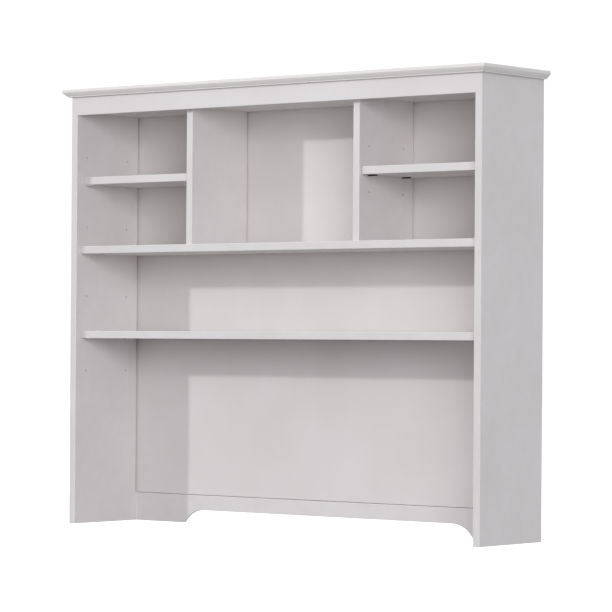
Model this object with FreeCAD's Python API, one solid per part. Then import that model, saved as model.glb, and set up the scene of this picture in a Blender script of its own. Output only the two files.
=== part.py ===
import FreeCAD, Part
import os

# White desk hutch: an open case of flat boards that stands on the back of a desk. It has a
# moulded cap, two partitions, two small shelves and one long shelf on pins, and an arched rail
# along the bottom of its back. Millimetres; +X to the right, +Y to the back, +Z up. The origin is
# on the desk, under the middle of the whole hutch, the cap's overhang included.

# Driving dimensions: the case
CASE_WIDTH = 1220.0        # over the outer faces of the two sides
CASE_DEPTH = 235.0         # front edges to rear edges of the sides
HEIGHT = 1045.0            # desk to the top of the cap
BOARD = 18.0               # sides, shelves, partitions and fascia
ARRIS = 1.2                # rounding along the edges that show

# The cap: a board with a moulded edge on its front and both ends: a flat band, a splayed face
# that swells a little, and a thin lip
CAP_THICKNESS = 18.0
CAP_PROJECTION = 17.0      # beyond the sides and the front
CAP_BAND = 7.0             # flat band along the top of the moulded edge
CAP_LIP = 1.5              # flat lip along the bottom of it
CAP_FOOT = 7.5             # how far the lip stands out from the case
SPLAY_SWELL = 0.7          # how far the splayed face bulges beyond its chord
CAP_ARRIS = 0.8            # rounding of the band's two edges

# The inside, set out from the top down
FASCIA_HEIGHT = 44.0
CAP_VOID = 19.0            # space between the cap and the top panel
TOP_BAY_HEIGHT = 322.0     # ceiling to the upper shelf
SMALL_SHELF_SEAT = 149.0   # underside of a small shelf above the upper shelf
MIDDLE_BAY_HEIGHT = 186.0  # upper shelf to the lower shelf
SIDE_BAY_WIDTH = 334.0     # side to partition
PARTITION_CLEARANCE = 2.0  # partitions behind the fascia
UPPER_SHELF_SETBACK = 15.0
LOWER_SHELF_SETBACK = 19.0
SMALL_SHELF_SETBACK = 27.0

# The back panel, in grooves in the sides
BACK_THICKNESS = 5.0
BACK_RECESS = 9.0          # rear edge of the sides to the panel
GROOVE_DEPTH = 7.0
GROOVE_SLACK = 4.5         # open groove in front of the panel
BACK_END_GAP = 1.0         # panel to the bottom of each groove, and to the cap
REAR_GAP = 3.0             # rear edges of boards to the panel

# The arched rail
RAIL_THICKNESS = 15.0
RAIL_HEIGHT = 68.0
RAIL_SLOT = 1.6            # shadow slot between rail and back panel
TONGUE_HEIGHT = 14.0       # part of the rail that stands behind the panel
TONGUE_GAP = 0.4
ARCH_HEIGHT = 32.0
ARCH_RADIUS = 70.0
ARCH_LIP = 4.0             # thickness of the rail at the edge of the arch
ARCH_REBATE = 12.0         # width of the thinned border behind that edge
FOOT_WIDTH = 160.0         # each foot of the rail, from the inner face of the side

# Shelf supports and their holes
PIN_RADIUS = 2.5
PIN_LENGTH = 9.0
PIN_HOLE_DEPTH = 10.5
PIN_HOLE_CLEARANCE = 0.1
PIN_DROP = 1.3             # shelf underside to the axis of the pin
TAB_LENGTH = 22.0
TAB_WIDTH = 14.0
TAB_THICKNESS = 2.6
TAB_CORNER = 5.0
SIDE_PIN_COLUMNS = (36.0, CASE_DEPTH - 57.0)       # from the front edges of the sides
PARTITION_PIN_COLUMNS = (56.0, CASE_DEPTH - 53.0)
LEFT_BAY_SPARE_ROWS = (65.0, -102.0)    # above and below the row in use
RIGHT_BAY_SPARE_ROWS = (65.0, -38.0)
LOWER_SPARE_ROWS = (103.0, -77.0)
SHELF_END_CLEARANCE = 1.0
SHELF_REAR_CLEARANCE = 4.0

# Knock-down fittings
CAM_RADIUS = 7.5
CAM_DEPTH = 12.5
CAM_LENGTH = 12.0
CAM_SETBACK = 34.0         # centre of a cam from the end of its board
BOLT_RADIUS = 3.0
BOLT_HEAD_RADIUS = 3.4
BOLT_NECK = 4.0            # plain tip inside the cam
BOLT_THREAD_DEPTH = 11.0   # in the side
FITTING_CLEARANCE = 0.15
DOWEL_RADIUS = 4.0
DOWEL_LENGTH = 30.0
DOWEL_IN_FACE = 11.0       # depth of a dowel in the face it enters
DOWEL_END_SPACE = 1.0
FITTING_EDGE = 45.0        # first and last fitting from the edges of a shelf

# Screws, covers and inserts
SCREW_RADIUS = 2.5
SCREW_HEAD_RADIUS = 4.5
SCREW_HEAD_HEIGHT = 2.6
CAP_SCREW_LENGTH = 50.0
PARTITION_SCREW_LENGTH = 45.0
COVER_RADIUS = 6.0
COVER_THICKNESS = 2.0
COVER_FIT = 0.1
BACK_SCREW_RADIUS = 1.75
BACK_SCREW_LENGTH = 16.0
BACK_SCREW_HEAD_RADIUS = 3.5
BACK_SCREW_HEAD_HEIGHT = 2.0
BACK_SCREW_COUNT = 5
DRIVE_RADIUS = 1.3
DRIVE_DEPTH = 1.2
INSERT_RADIUS = 5.0
INSERT_BORE = 3.0
INSERT_LENGTH = 13.0
INSERT_SPACING = 160.0     # front insert to rear insert in one side
BOLT_TIP_ROOM = 12.0       # hole beyond an insert, for the end of its bolt

# Planes worked out from the dimensions above
HALF = CASE_WIDTH / 2
INNER = HALF - BOARD
FRONT = CAP_PROJECTION - (CASE_DEPTH + CAP_PROJECTION) / 2
REAR = FRONT + CASE_DEPTH
CAP_BOTTOM = HEIGHT - CAP_THICKNESS
TOP_PANEL_TOP = CAP_BOTTOM - CAP_VOID
CEILING = TOP_PANEL_TOP - BOARD
UPPER_TOP = CEILING - TOP_BAY_HEIGHT
UPPER_BOTTOM = UPPER_TOP - BOARD
LOWER_TOP = UPPER_BOTTOM - MIDDLE_BAY_HEIGHT
LOWER_BOTTOM = LOWER_TOP - BOARD
SMALL_BOTTOM = UPPER_TOP + SMALL_SHELF_SEAT
BACK_REAR = REAR - BACK_RECESS
BACK_FRONT = BACK_REAR - BACK_THICKNESS
BOARD_REAR = BACK_FRONT - REAR_GAP
RAIL_FRONT = REAR - RAIL_THICKNESS
FASCIA_BOTTOM = CAP_BOTTOM - FASCIA_HEIGHT
PARTITION_FRONT = FRONT + BOARD + PARTITION_CLEARANCE
PARTITION_INNER = INNER - SIDE_BAY_WIDTH - BOARD   # face towards the middle bay
PARTITION_OUTER = INNER - SIDE_BAY_WIDTH           # face towards the side bay


def box(x0, x1, y0, y1, z0, z1):
    """A box between two corners."""
    return Part.makeBox(x1 - x0, y1 - y0, z1 - z0, FreeCAD.Vector(x0, y0, z0))


def rod(radius, start, direction, length):
    """A round rod from a point along a direction."""
    return Part.makeCylinder(radius, length, FreeCAD.Vector(*start), FreeCAD.Vector(*direction))


def mirrored(shape):
    """The same shape on the other side of the hutch's middle plane."""
    return shape.mirror(FreeCAD.Vector(0, 0, 0), FreeCAD.Vector(1, 0, 0))


def both_sides(shapes):
    """Shapes on the right and their mirror images on the left."""
    return shapes + [mirrored(shape) for shape in shapes]


def spaced(low, high, count):
    """Evenly spaced places from low to high."""
    return [low + (high - low) * k / (count - 1) for k in range(count)]


def straight_edges(shape, axis, **planes):
    """Straight edges along an axis that lie in the given planes, such as y=-109."""
    found = []
    for edge in shape.Edges:
        if len(edge.Vertexes) != 2 or not isinstance(edge.Curve, Part.Line):
            continue
        run = edge.Vertexes[1].Point - edge.Vertexes[0].Point
        if abs(getattr(run, axis)) < 0.999 * run.Length:
            continue
        middle = edge.CenterOfMass
        if all(abs(getattr(middle, name) - value) < 0.01 for name, value in planes.items()):
            found.append(edge)
    return found


def eased(shape, axis, radius=ARRIS, **planes):
    """The shape with its arrises along an axis rounded."""
    return shape.makeFillet(radius, straight_edges(shape, axis, **planes))


def cam_places(shelf_front):
    """Y places of the two cams at one end of a board that runs to the back."""
    return (shelf_front + FITTING_EDGE, BOARD_REAR - FITTING_EDGE)


def middle_of(shelf_front):
    """Y place of the dowel between the two cams."""
    return (shelf_front + BOARD_REAR) / 2


# Each joint between a side and a cross board: cam bolts and dowels, as (y, z) places
UPPER_CAMS = [(y, UPPER_BOTTOM + BOARD / 2) for y in cam_places(FRONT + UPPER_SHELF_SETBACK)]
UPPER_DOWELS = [(middle_of(FRONT + UPPER_SHELF_SETBACK), UPPER_BOTTOM + BOARD / 2)]
TOP_CAMS = [(y, CEILING + BOARD / 2) for y in cam_places(FRONT + BOARD)]
TOP_DOWELS = [(middle_of(FRONT + BOARD), CEILING + BOARD / 2)]
FASCIA_CAMS = [(FRONT + BOARD / 2, TOP_PANEL_TOP + CAP_VOID / 2 - 1)]
FASCIA_DOWELS = [(FRONT + BOARD / 2, FASCIA_BOTTOM + 14)]
RAIL_CAMS = [(RAIL_FRONT + RAIL_THICKNESS / 2, RAIL_HEIGHT / 2)]
RAIL_DOWELS = [(RAIL_FRONT + RAIL_THICKNESS / 2, z) for z in (14.0, RAIL_HEIGHT - 14)]
BATTEN_DOWELS = [(BACK_FRONT - BOARD / 2, TOP_PANEL_TOP + CAP_VOID / 2)]
BASE_PLACES = [y + (FRONT + REAR) / 2 for y in (-INSERT_SPACING / 2, INSERT_SPACING / 2)]
CAP_SCREW_PLACES = [FRONT + FITTING_EDGE, REAR - FITTING_EDGE]
PARTITION_FIXINGS = cam_places(PARTITION_FRONT)


def bolt_holes(places):
    """Holes in the right side for cam bolts."""
    return [rod(BOLT_RADIUS + FITTING_CLEARANCE, (INNER, y, z), (1, 0, 0), BOLT_THREAD_DEPTH + 1)
            for y, z in places]


def face_dowel_holes(places):
    """Holes in the right side's inner face for dowels."""
    depth = DOWEL_IN_FACE + DOWEL_END_SPACE
    return [rod(DOWEL_RADIUS + FITTING_CLEARANCE, (INNER, y, z), (1, 0, 0), depth)
            for y, z in places]


def end_holes(places, cam_axis, cam_face):
    """Holes for cams and their bolts in the right end of a board; the cam enters from cam_face."""
    holes = []
    for y, z in places:
        start = (INNER - CAM_SETBACK, y, z)
        holes.append(rod(BOLT_HEAD_RADIUS + FITTING_CLEARANCE, start, (1, 0, 0), CAM_SETBACK))
        holes.append(cam_body(y, z, cam_axis, cam_face, CAM_RADIUS + FITTING_CLEARANCE, CAM_DEPTH))
    return holes


def cam_body(y, z, axis, face, radius, depth):
    """A cam's cylinder, from a board's face inwards along axis."""
    x = INNER - CAM_SETBACK
    start = (x, face, z) if axis[1] else (x, y, face)
    return rod(radius, start, axis, depth)


def end_dowel_holes(places):
    """Holes for dowels in the right end of a board."""
    depth = DOWEL_LENGTH - DOWEL_IN_FACE + DOWEL_END_SPACE
    return [rod(DOWEL_RADIUS + FITTING_CLEARANCE, (INNER, y, z), (-1, 0, 0), depth)
            for y, z in places]


def cam_bolt(y, z):
    """A cam bolt: threaded end in the right side, neck and head in the cam."""
    thread = rod(BOLT_RADIUS, (INNER, y, z), (1, 0, 0), BOLT_THREAD_DEPTH)
    shank = rod(BOLT_RADIUS, (INNER, y, z), (-1, 0, 0), CAM_SETBACK - CAM_RADIUS)
    neck_start = INNER - CAM_SETBACK + CAM_RADIUS
    neck = rod(BOLT_RADIUS * 0.6, (neck_start, y, z), (-1, 0, 0), BOLT_NECK)
    head = rod(BOLT_RADIUS * 0.95, (neck_start - BOLT_NECK, y, z), (-1, 0, 0), BOLT_RADIUS)
    return thread.fuse([shank, neck, head]).removeSplitter()


def cam_lock(y, z, axis, face):
    """A round cam with a slot for its bolt's head and a cross drive in its face."""
    body = cam_body(y, z, axis, face, CAM_RADIUS, CAM_LENGTH)
    slot = rod(BOLT_HEAD_RADIUS, (INNER - CAM_SETBACK - 3, y, z), (1, 0, 0), CAM_RADIUS + 4)
    cross = cam_cross(y, z, axis, face)
    return body.cut([slot] + cross)


def cam_cross(y, z, axis, face):
    """The two bars of a cam's cross drive."""
    x = INNER - CAM_SETBACK
    bars = []
    for long_half, short_half in ((3.2, 0.6), (0.6, 3.2)):
        if axis[1]:
            low, high = sorted((face, face + axis[1] * DRIVE_DEPTH))
            bars.append(box(x - long_half, x + long_half, low, high, z - short_half, z + short_half))
        else:
            low, high = sorted((face, face + axis[2] * DRIVE_DEPTH))
            bars.append(box(x - long_half, x + long_half, y - short_half, y + short_half, low, high))
    return bars


def side_dowel(y, z):
    """A dowel between the right side and the end of a board."""
    start = INNER + DOWEL_IN_FACE
    dowel = rod(DOWEL_RADIUS, (start, y, z), (-1, 0, 0), DOWEL_LENGTH)
    return dowel.makeChamfer(0.8, [edge for edge in dowel.Edges if edge.Closed])


def pin_holes(face, direction, columns, rows):
    """Shelf-pin holes in a vertical face, drilled along a direction."""
    radius = PIN_RADIUS + PIN_HOLE_CLEARANCE
    return [rod(radius, (face, FRONT + y, z), (direction, 0, 0), PIN_HOLE_DEPTH)
            for y in columns for z in rows]


def pin_rows(shelf_bottom, spare_rows):
    """Heights of the row that holds a shelf and of its spare rows."""
    used = shelf_bottom - PIN_DROP
    return [used] + [used + offset for offset in spare_rows]


def side_panel():
    """The right side, without its shelf-pin holes. Its inner arris is square beside the fascia."""
    lower = eased(box(INNER, HALF, FRONT, REAR, 0, FASCIA_BOTTOM), "z", y=FRONT)
    upper = eased(box(INNER, HALF, FRONT, REAR, FASCIA_BOTTOM, CAP_BOTTOM), "z", x=HALF, y=FRONT)
    panel = lower.fuse(upper).removeSplitter()
    panel = eased(panel, "z", y=REAR)
    groove = box(INNER, INNER + GROOVE_DEPTH, BACK_FRONT - GROOVE_SLACK, BACK_REAR,
                 RAIL_HEIGHT + RAIL_SLOT, CAP_BOTTOM)
    holes = bolt_holes(UPPER_CAMS + TOP_CAMS + FASCIA_CAMS + RAIL_CAMS)
    holes += face_dowel_holes(UPPER_DOWELS + TOP_DOWELS + FASCIA_DOWELS + RAIL_DOWELS + BATTEN_DOWELS)
    middle = INNER + BOARD / 2
    for y in BASE_PLACES:
        depth = INSERT_LENGTH + BOLT_TIP_ROOM
        holes.append(rod(INSERT_RADIUS + FITTING_CLEARANCE, (middle, y, 0), (0, 0, 1), INSERT_LENGTH))
        holes.append(rod(INSERT_BORE + FITTING_CLEARANCE, (middle, y, 0), (0, 0, 1), depth))
    for y in CAP_SCREW_PLACES:
        depth = CAP_SCREW_LENGTH - CAP_THICKNESS + 4
        holes.append(rod(SCREW_RADIUS + FITTING_CLEARANCE, (middle, y, CAP_BOTTOM), (0, 0, -1), depth))
    return panel.cut([groove] + holes)


def drilled_side(bay_spare_rows):
    """The right side with its shelf-pin holes."""
    rows = pin_rows(SMALL_BOTTOM, bay_spare_rows) + pin_rows(LOWER_BOTTOM, LOWER_SPARE_ROWS)
    return side_panel().cut(pin_holes(INNER, 1, SIDE_PIN_COLUMNS, rows))


def partition(bay_spare_rows):
    """The right partition: pin holes on the face towards the side bay, dowelled at its foot."""
    panel = box(PARTITION_INNER, PARTITION_OUTER, PARTITION_FRONT, BOARD_REAR, UPPER_TOP, CEILING)
    panel = eased(panel, "z", y=PARTITION_FRONT)
    holes = pin_holes(PARTITION_OUTER, -1, PARTITION_PIN_COLUMNS, pin_rows(SMALL_BOTTOM, bay_spare_rows))
    middle = PARTITION_INNER + BOARD / 2
    for y in PARTITION_FIXINGS:
        dowel_depth = DOWEL_LENGTH - DOWEL_IN_FACE + DOWEL_END_SPACE
        screw_depth = PARTITION_SCREW_LENGTH - BOARD + 4
        holes.append(rod(DOWEL_RADIUS + FITTING_CLEARANCE, (middle, y, UPPER_TOP), (0, 0, 1), dowel_depth))
        holes.append(rod(SCREW_RADIUS + FITTING_CLEARANCE, (middle, y, CEILING), (0, 0, -1), screw_depth))
    return panel.cut(holes)


def moulded_profile(reach, thickness_axis_low):
    """Points of the cap's moulded edge, as (reach, height) pairs from the lip up to the band."""
    foot = (reach - CAP_PROJECTION + CAP_FOOT, thickness_axis_low)
    lip = (foot[0], thickness_axis_low + CAP_LIP)
    band = (reach, HEIGHT - CAP_BAND)
    chord = (band[0] - lip[0], band[1] - lip[1])
    length = (chord[0] ** 2 + chord[1] ** 2) ** 0.5
    swell = ((lip[0] + band[0]) / 2 + SPLAY_SWELL * chord[1] / length,
             (lip[1] + band[1]) / 2 - SPLAY_SWELL * chord[0] / length)
    return foot, lip, swell, band, (reach, HEIGHT)


def profile_face(points_to_vector, left_profile, right_profile):
    """A closed face between two moulded edges, or between one and a square edge."""
    edges = []
    for profile in (left_profile, right_profile):
        points = [FreeCAD.Vector(*points_to_vector(point)) for point in profile]
        if len(points) == 2:
            edges.append(Part.LineSegment(points[0], points[1]).toShape())
            continue
        foot, lip, swell, band, top = points
        edges.append(Part.LineSegment(foot, lip).toShape())
        edges.append(Part.Arc(lip, swell, band).toShape())
        edges.append(Part.LineSegment(band, top).toShape())
    for end in (0, -1):
        start = FreeCAD.Vector(*points_to_vector(left_profile[end]))
        stop = FreeCAD.Vector(*points_to_vector(right_profile[end]))
        edges.append(Part.LineSegment(start, stop).toShape())
    return Part.Face(Part.Wire(Part.__sortEdges__(edges)))


def band_edges(cap):
    """The upper and lower edges of the flat band, along the front and both ends."""
    edges = []
    for z in (HEIGHT, HEIGHT - CAP_BAND):
        edges += straight_edges(cap, "x", y=FRONT - CAP_PROJECTION, z=z)
        for x in (-HALF - CAP_PROJECTION, HALF + CAP_PROJECTION):
            edges += straight_edges(cap, "y", x=x, z=z)
    return edges


def top_cap():
    """The cap: a board whose front and ends are moulded and whose corners are crisp."""
    width = HALF + CAP_PROJECTION
    front_profile = moulded_profile(CAP_PROJECTION - FRONT, CAP_BOTTOM)
    rear_profile = ((-REAR, CAP_BOTTOM), (-REAR, HEIGHT))
    long_face = profile_face(lambda p: (-width, -p[0], p[1]), front_profile, rear_profile)
    end_profile = moulded_profile(width, CAP_BOTTOM)
    mirror_profile = [(-reach, height) for reach, height in end_profile]
    cross_face = profile_face(lambda p: (p[0], FRONT - CAP_PROJECTION, p[1]), mirror_profile, end_profile)
    long_bar = long_face.extrude(FreeCAD.Vector(2 * width, 0, 0))
    cross_bar = cross_face.extrude(FreeCAD.Vector(0, CASE_DEPTH + CAP_PROJECTION, 0))
    cap = long_bar.common(cross_bar).removeSplitter()
    cap = cap.makeFillet(CAP_ARRIS, band_edges(cap))
    holes = []
    for y in CAP_SCREW_PLACES:
        x = INNER + BOARD / 2
        sunk = COVER_THICKNESS + SCREW_HEAD_HEIGHT
        holes.append(rod(COVER_RADIUS + COVER_FIT, (x, y, HEIGHT), (0, 0, -1), COVER_THICKNESS))
        holes.append(rod(SCREW_HEAD_RADIUS + FITTING_CLEARANCE, (x, y, HEIGHT), (0, 0, -1), sunk))
        holes.append(rod(SCREW_RADIUS + FITTING_CLEARANCE, (x, y, HEIGHT), (0, 0, -1), CAP_THICKNESS))
    return cap.cut(both_sides(holes))


def top_panel():
    """The fixed top panel between the sides, behind the fascia."""
    panel = box(-INNER, INNER, FRONT + BOARD, BOARD_REAR, CEILING, TOP_PANEL_TOP)
    holes = end_holes(TOP_CAMS, (0, 0, -1), TOP_PANEL_TOP) + end_dowel_holes(TOP_DOWELS)
    for y in PARTITION_FIXINGS:
        x = PARTITION_INNER + BOARD / 2
        holes.append(rod(SCREW_HEAD_RADIUS + FITTING_CLEARANCE, (x, y, TOP_PANEL_TOP), (0, 0, -1),
                         SCREW_HEAD_HEIGHT))
        holes.append(rod(SCREW_RADIUS + FITTING_CLEARANCE, (x, y, TOP_PANEL_TOP), (0, 0, -1), BOARD))
    return panel.cut(both_sides(holes))


def fascia_rail():
    """The rail under the cap, flush with the front edges of the sides."""
    rail = box(-INNER, INNER, FRONT, FRONT + BOARD, FASCIA_BOTTOM, CAP_BOTTOM)
    rail = eased(rail, "x", z=FASCIA_BOTTOM)
    holes = end_holes(FASCIA_CAMS, (0, -1, 0), FRONT + BOARD) + end_dowel_holes(FASCIA_DOWELS)
    return rail.cut(both_sides(holes))


def cap_batten():
    """The batten at the back of the space under the cap; the back panel is screwed to it."""
    batten = box(-INNER, INNER, BACK_FRONT - BOARD, BACK_FRONT, TOP_PANEL_TOP, CAP_BOTTOM)
    holes = both_sides(end_dowel_holes(BATTEN_DOWELS))
    holes += [rod(BACK_SCREW_RADIUS + FITTING_CLEARANCE, (x, BACK_FRONT, z), (0, -1, 0), BACK_SCREW_LENGTH)
              for x, z in back_screw_places()]
    return batten.cut(holes)


def upper_shelf():
    """The fixed shelf that carries the partitions."""
    front = FRONT + UPPER_SHELF_SETBACK
    shelf = eased(box(-INNER, INNER, front, BOARD_REAR, UPPER_BOTTOM, UPPER_TOP), "x", y=front)
    holes = end_holes(UPPER_CAMS, (0, 0, 1), UPPER_BOTTOM) + end_dowel_holes(UPPER_DOWELS)
    for y in PARTITION_FIXINGS:
        x = PARTITION_INNER + BOARD / 2
        depth = DOWEL_IN_FACE + DOWEL_END_SPACE
        holes.append(rod(DOWEL_RADIUS + FITTING_CLEARANCE, (x, y, UPPER_TOP), (0, 0, -1), depth))
    return shelf.cut(both_sides(holes))


def loose_shelf(x0, x1, setback, bottom):
    """A shelf that lies on pins between two faces."""
    front = FRONT + setback
    rear = BACK_FRONT - SHELF_REAR_CLEARANCE
    shelf = box(x0 + SHELF_END_CLEARANCE, x1 - SHELF_END_CLEARANCE, front, rear, bottom, bottom + BOARD)
    return eased(shelf, "x", y=front)


def back_panel():
    """The back panel, in the grooves, from the shadow slot over the rail to the cap."""
    reach = INNER + GROOVE_DEPTH - BACK_END_GAP
    panel = box(-reach, reach, BACK_FRONT, BACK_REAR, RAIL_HEIGHT + RAIL_SLOT, CAP_BOTTOM - BACK_END_GAP)
    holes = [rod(BACK_SCREW_RADIUS + FITTING_CLEARANCE, (x, BACK_REAR, z), (0, -1, 0), BACK_THICKNESS)
             for x, z in back_screw_places()]
    return panel.cut(holes)


def bottom_rail():
    """The arched rail between the sides, with a tongue behind the back panel's lower edge."""
    blank = box(-INNER, INNER, RAIL_FRONT, REAR, 0, RAIL_HEIGHT)
    blank = eased(blank, "x", y=RAIL_FRONT, z=RAIL_HEIGHT)
    tongue = box(-INNER, INNER, BACK_REAR + TONGUE_GAP, REAR, RAIL_HEIGHT, RAIL_HEIGHT + TONGUE_HEIGHT)
    rebate = arch_cutter(ARCH_REBATE, ARCH_LIP)
    rail = blank.fuse(tongue).cut([arch_cutter(0, 0), rebate]).removeSplitter()
    rail = rail.makeFillet(ARRIS, arch_edges(rail))
    holes = end_holes(RAIL_CAMS, (0, -1, 0), REAR) + end_dowel_holes(RAIL_DOWELS)
    return rail.cut(both_sides(holes))


def arch_edges(rail):
    """The front edges of the arch."""
    return [edge for edge in rail.Edges
            if edge.BoundBox.YMax < RAIL_FRONT + 0.01 and 1 < edge.CenterOfMass.z < ARCH_HEIGHT + 1
            and abs(edge.CenterOfMass.x) < INNER - 1]


def arch_cutter(border, depth):
    """The space under the arch, widened by a border all round, from a depth behind the front.

    It has a straight top with a round end at each foot.
    """
    height = ARCH_HEIGHT + border
    radius = ARCH_RADIUS + border
    rise = radius - height
    run = (radius ** 2 - rise ** 2) ** 0.5
    centre = INNER - FOOT_WIDTH - (ARCH_RADIUS ** 2 - rise ** 2) ** 0.5
    bend_run = (radius ** 2 - (height / 2 + rise) ** 2) ** 0.5
    front = RAIL_FRONT + depth
    outline = []
    for side in (1, -1):
        start = FreeCAD.Vector(side * (centre + run), front, 0)
        bend = FreeCAD.Vector(side * (centre + bend_run), front, height / 2)
        crown = FreeCAD.Vector(side * centre, front, height)
        outline.append(Part.Arc(start, bend, crown).toShape())
    for x, z in ((centre + run, 0), (centre, height)):
        ends = FreeCAD.Vector(-x, front, z), FreeCAD.Vector(x, front, z)
        outline.append(Part.LineSegment(*ends).toShape())
    face = Part.Face(Part.Wire(Part.__sortEdges__(outline)))
    return face.extrude(FreeCAD.Vector(0, RAIL_THICKNESS - depth, 0))


def back_screw_places():
    """X and Z of the screws that hold the back panel to the batten."""
    height = TOP_PANEL_TOP + CAP_VOID / 2
    return [(x, height) for x in spaced(-INNER + FITTING_EDGE, INNER - FITTING_EDGE, BACK_SCREW_COUNT)]


def screw(radius, length, head_radius, head_height, start, direction):
    """A screw whose head's flat face is at start and whose point lies along direction."""
    vector = FreeCAD.Vector(*direction)
    origin = FreeCAD.Vector(*start)
    head = Part.makeCylinder(head_radius, head_height, origin, vector)
    shank_start = origin + vector * head_height
    shank = Part.makeCylinder(radius, length - radius * 2, shank_start, vector)
    point = Part.makeCone(radius, 0.3, radius * 2, shank_start + vector * (length - radius * 2), vector)
    drive = Part.makeCylinder(DRIVE_RADIUS, DRIVE_DEPTH, origin, vector)
    return head.fuse([shank, point]).cut(drive).removeSplitter()


def back_panel_screws():
    """The screws through the back panel, heads on its rear face."""
    return [screw(BACK_SCREW_RADIUS, BACK_SCREW_LENGTH, BACK_SCREW_HEAD_RADIUS, BACK_SCREW_HEAD_HEIGHT,
                  (x, BACK_REAR + BACK_SCREW_HEAD_HEIGHT, z), (0, -1, 0)) for x, z in back_screw_places()]


def cap_screws():
    """The screws down through the cap into the sides."""
    x = INNER + BOARD / 2
    top = HEIGHT - COVER_THICKNESS
    length = CAP_SCREW_LENGTH - COVER_THICKNESS - SCREW_HEAD_HEIGHT
    return both_sides([screw(SCREW_RADIUS, length, SCREW_HEAD_RADIUS, SCREW_HEAD_HEIGHT, (x, y, top),
                             (0, 0, -1)) for y in CAP_SCREW_PLACES])


def screw_covers():
    """Plastic covers over the heads of the cap screws, flush with the cap."""
    x = INNER + BOARD / 2
    return both_sides([rod(COVER_RADIUS, (x, y, HEIGHT), (0, 0, -1), COVER_THICKNESS)
                       for y in CAP_SCREW_PLACES])


def partition_screws():
    """The screws down through the top panel into the partitions."""
    x = PARTITION_INNER + BOARD / 2
    length = PARTITION_SCREW_LENGTH - SCREW_HEAD_HEIGHT
    return both_sides([screw(SCREW_RADIUS, length, SCREW_HEAD_RADIUS, SCREW_HEAD_HEIGHT,
                             (x, y, TOP_PANEL_TOP), (0, 0, -1)) for y in PARTITION_FIXINGS])


def partition_dowels():
    """The dowels between the upper shelf and the partitions."""
    x = PARTITION_INNER + BOARD / 2
    low = UPPER_TOP - DOWEL_IN_FACE
    return both_sides([rod(DOWEL_RADIUS, (x, y, low), (0, 0, 1), DOWEL_LENGTH)
                       for y in PARTITION_FIXINGS])


def base_inserts():
    """Threaded inserts in the bottom edges of the sides, for bolts up through the desk top."""
    x = INNER + BOARD / 2
    return both_sides([rod(INSERT_RADIUS, (x, y, 0), (0, 0, 1), INSERT_LENGTH).cut(
        rod(INSERT_BORE, (x, y, 0), (0, 0, 1), INSERT_LENGTH)) for y in BASE_PLACES])


def shelf_support(face, direction, y, shelf_bottom):
    """A support: a pin in a vertical face, flattened outside it into a tab that the shelf lies on."""
    low_x, high_x = sorted((face, face + direction * TAB_LENGTH))
    tab = box(low_x, high_x, y - TAB_WIDTH / 2, y + TAB_WIDTH / 2, shelf_bottom - TAB_THICKNESS, shelf_bottom)
    tab = eased(tab, "z", radius=TAB_CORNER, x=face + direction * TAB_LENGTH)
    pin = rod(PIN_RADIUS, (face, y, shelf_bottom - PIN_DROP), (-direction, 0, 0), PIN_LENGTH)
    return tab.fuse(pin).removeSplitter()


def bay_supports(left_face, right_face, left_columns, right_columns, shelf_bottom):
    """The four supports of one shelf."""
    supports = [shelf_support(left_face, 1, FRONT + y, shelf_bottom) for y in left_columns]
    supports += [shelf_support(right_face, -1, FRONT + y, shelf_bottom) for y in right_columns]
    return supports


def side_fittings(make, places, *details):
    """Fittings at both ends of a board."""
    return both_sides([make(y, z, *details) for y, z in places])


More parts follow.
